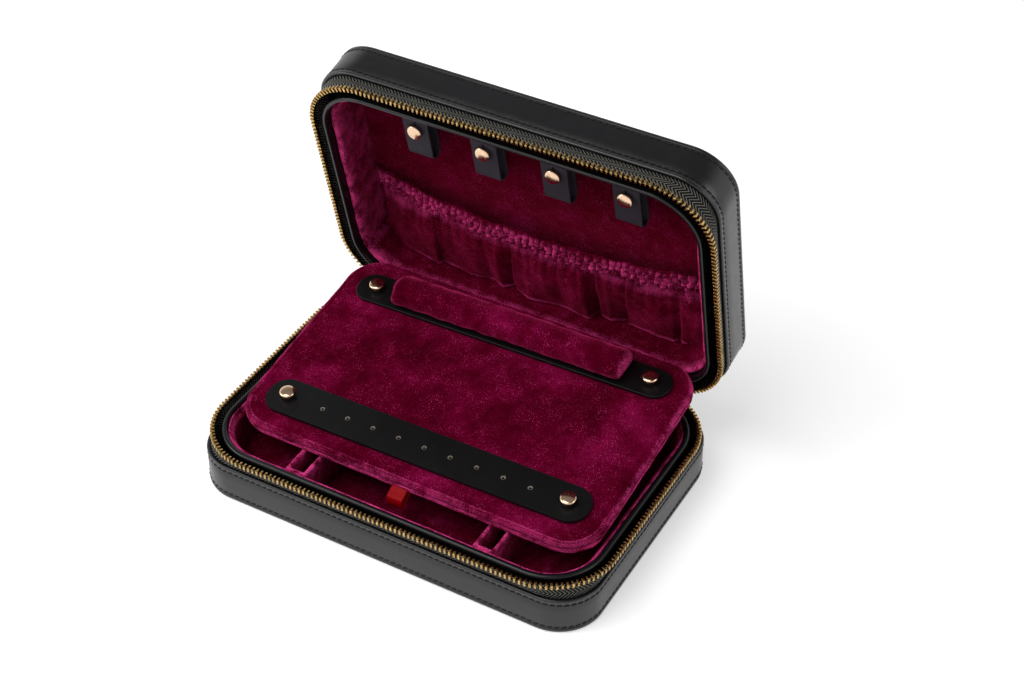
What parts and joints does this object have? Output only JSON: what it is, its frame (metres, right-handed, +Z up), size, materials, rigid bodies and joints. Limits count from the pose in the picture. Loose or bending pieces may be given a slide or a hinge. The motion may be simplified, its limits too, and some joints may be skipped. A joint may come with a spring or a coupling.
{
  "type": "zipped jewellery case",
  "caption": "Open hard-sided zipped leather jewellery case with a velvet lining, a lift-up panel with ring roll and earring strap, necklace loops and a gathered lid pocket.",
  "frame": {"origin": "centre of the flat underside of the base, where it stands", "axes": "+X along the hinge edge, +Y towards the hinge at the back, +Z up"},
  "size_m": [0.2342, 0.1911, 0.192],
  "materials": {
    "leather": "smooth black box leather with a soft sheen",
    "velvet": "burgundy crushed velvet",
    "velvet_dark": "burgundy velvet in shade",
    "gold": "polished pale gold",
    "zip_tape": "black herringbone woven tape",
    "satin": "red satin ribbon"
  },
  "bodies": {
    "base": {"base_bottom": "leather", "base_band": "leather", "base_zip_tape": "zip_tape", "base_zip_teeth": "gold", "base_zip_stops": "gold", "base_collar": "leather", "base_lining": "velvet", "left_divider": "velvet", "right_divider": "velvet", "spine_base_leaf": "leather", "spine_fold": "leather"},
    "lid": {"lid_top": "leather", "lid_band": "leather", "lid_zip_tape": "zip_tape", "lid_zip_teeth": "gold", "lid_zip_stops": "gold", "lid_collar": "leather", "lid_lining": "velvet", "lid_back_pad": "velvet_dark", "lid_pocket": "velvet", "pocket_elastic": "velvet", "spine_lid_leaf": "leather", "necklace_hanger_1": "leather", "necklace_hanger_2": "leather", "necklace_hanger_3": "leather", "necklace_hanger_4": "leather", "necklace_stud_1": "gold", "necklace_stud_2": "gold", "necklace_stud_3": "gold", "necklace_stud_4": "gold"},
    "panel_seat": {"panel_hinge_strip": "velvet_dark"},
    "panel": {"panel_pad": "velvet", "panel_board": "velvet_dark", "pull_ribbon": "satin", "ring_stud_left": "gold", "ring_stud_right": "gold", "earring_stud_left": "gold", "earring_stud_right": "gold"},
    "ring_roll": {"ring_strap": "leather", "ring_pad": "velvet"},
    "earring_strip": {"earring_strap": "leather"},
    "zip_slider": {"zip_slider": "gold"},
    "zip_pull": {"zip_pull": "gold"},
    "necklace_loop_1": {"necklace_flap_1": "leather"},
    "necklace_loop_2": {"necklace_flap_2": "leather"},
    "necklace_loop_3": {"necklace_flap_3": "leather"},
    "necklace_loop_4": {"necklace_flap_4": "leather"}
  },
  "joints": [
    {"name": "lid_hinge", "type": "hinge", "parent": "base", "child": "lid", "pos_m": [0, 0.0798, 0.031], "axis": [-1, 0, 0], "range_deg": [-77, 13], "deforming": ["lid_zip_tape", "lid_zip_teeth", "base_zip_tape", "base_zip_teeth", "spine_fold"]},
    {"name": "panel_seat", "type": "hinge", "parent": "base", "child": "panel_seat", "pos_m": [0, -0.06155, 0.15423], "axis": [1, 0, 0], "range_deg": [-7.9, 1.4], "deforming": ["panel_hinge_strip", "pull_ribbon"]},
    {"name": "panel_hinge", "type": "hinge", "parent": "panel_seat", "child": "panel", "pos_m": [0, 0.07975, 0.04487], "axis": [-1, 0, 0], "range_deg": [0, 35]},
    {"name": "ring_roll_lift", "type": "slide", "parent": "panel", "child": "ring_roll", "axis": [0, -0.1357, 0.9907], "range_m": [0, 0.014], "deforming": ["ring_strap"]},
    {"name": "earring_strip_lift", "type": "slide", "parent": "panel", "child": "earring_strip", "axis": [0, -0.1357, 0.9907], "range_m": [0, 0.014], "deforming": ["earring_strap"]},
    {"name": "necklace_loop_1_open", "type": "hinge", "parent": "lid", "child": "necklace_loop_1", "pos_m": [-0.06112, 0.07073, 0.13964], "axis": [1, 0, 0], "range_deg": [0, 100], "deforming": ["necklace_flap_1"]},
    {"name": "necklace_loop_2_open", "type": "hinge", "parent": "lid", "child": "necklace_loop_2", "pos_m": [-0.02038, 0.07073, 0.13964], "axis": [1, 0, 0], "range_deg": [0, 100], "deforming": ["necklace_flap_2"]},
    {"name": "necklace_loop_3_open", "type": "hinge", "parent": "lid", "child": "necklace_loop_3", "pos_m": [0.02038, 0.07073, 0.13964], "axis": [1, 0, 0], "range_deg": [0, 100], "deforming": ["necklace_flap_3"]},
    {"name": "necklace_loop_4_open", "type": "hinge", "parent": "lid", "child": "necklace_loop_4", "pos_m": [0.06112, 0.07073, 0.13964], "axis": [1, 0, 0], "range_deg": [0, 100], "deforming": ["necklace_flap_4"]},
    {"name": "zip_slide", "type": "slide", "parent": "base", "child": "zip_slider", "axis": [-1, 0, 0], "range_m": [0, 0.01]},
    {"name": "zip_pull_swing", "type": "hinge", "parent": "zip_slider", "child": "zip_pull", "pos_m": [-0.068, 0.0824, 0.03], "axis": [1, 0, 0], "range_deg": [0, 85]}
  ],
  "couplings": [
    {"joint": "panel_seat", "follows": "lid_hinge", "ratio": 0.1013}
  ]
}
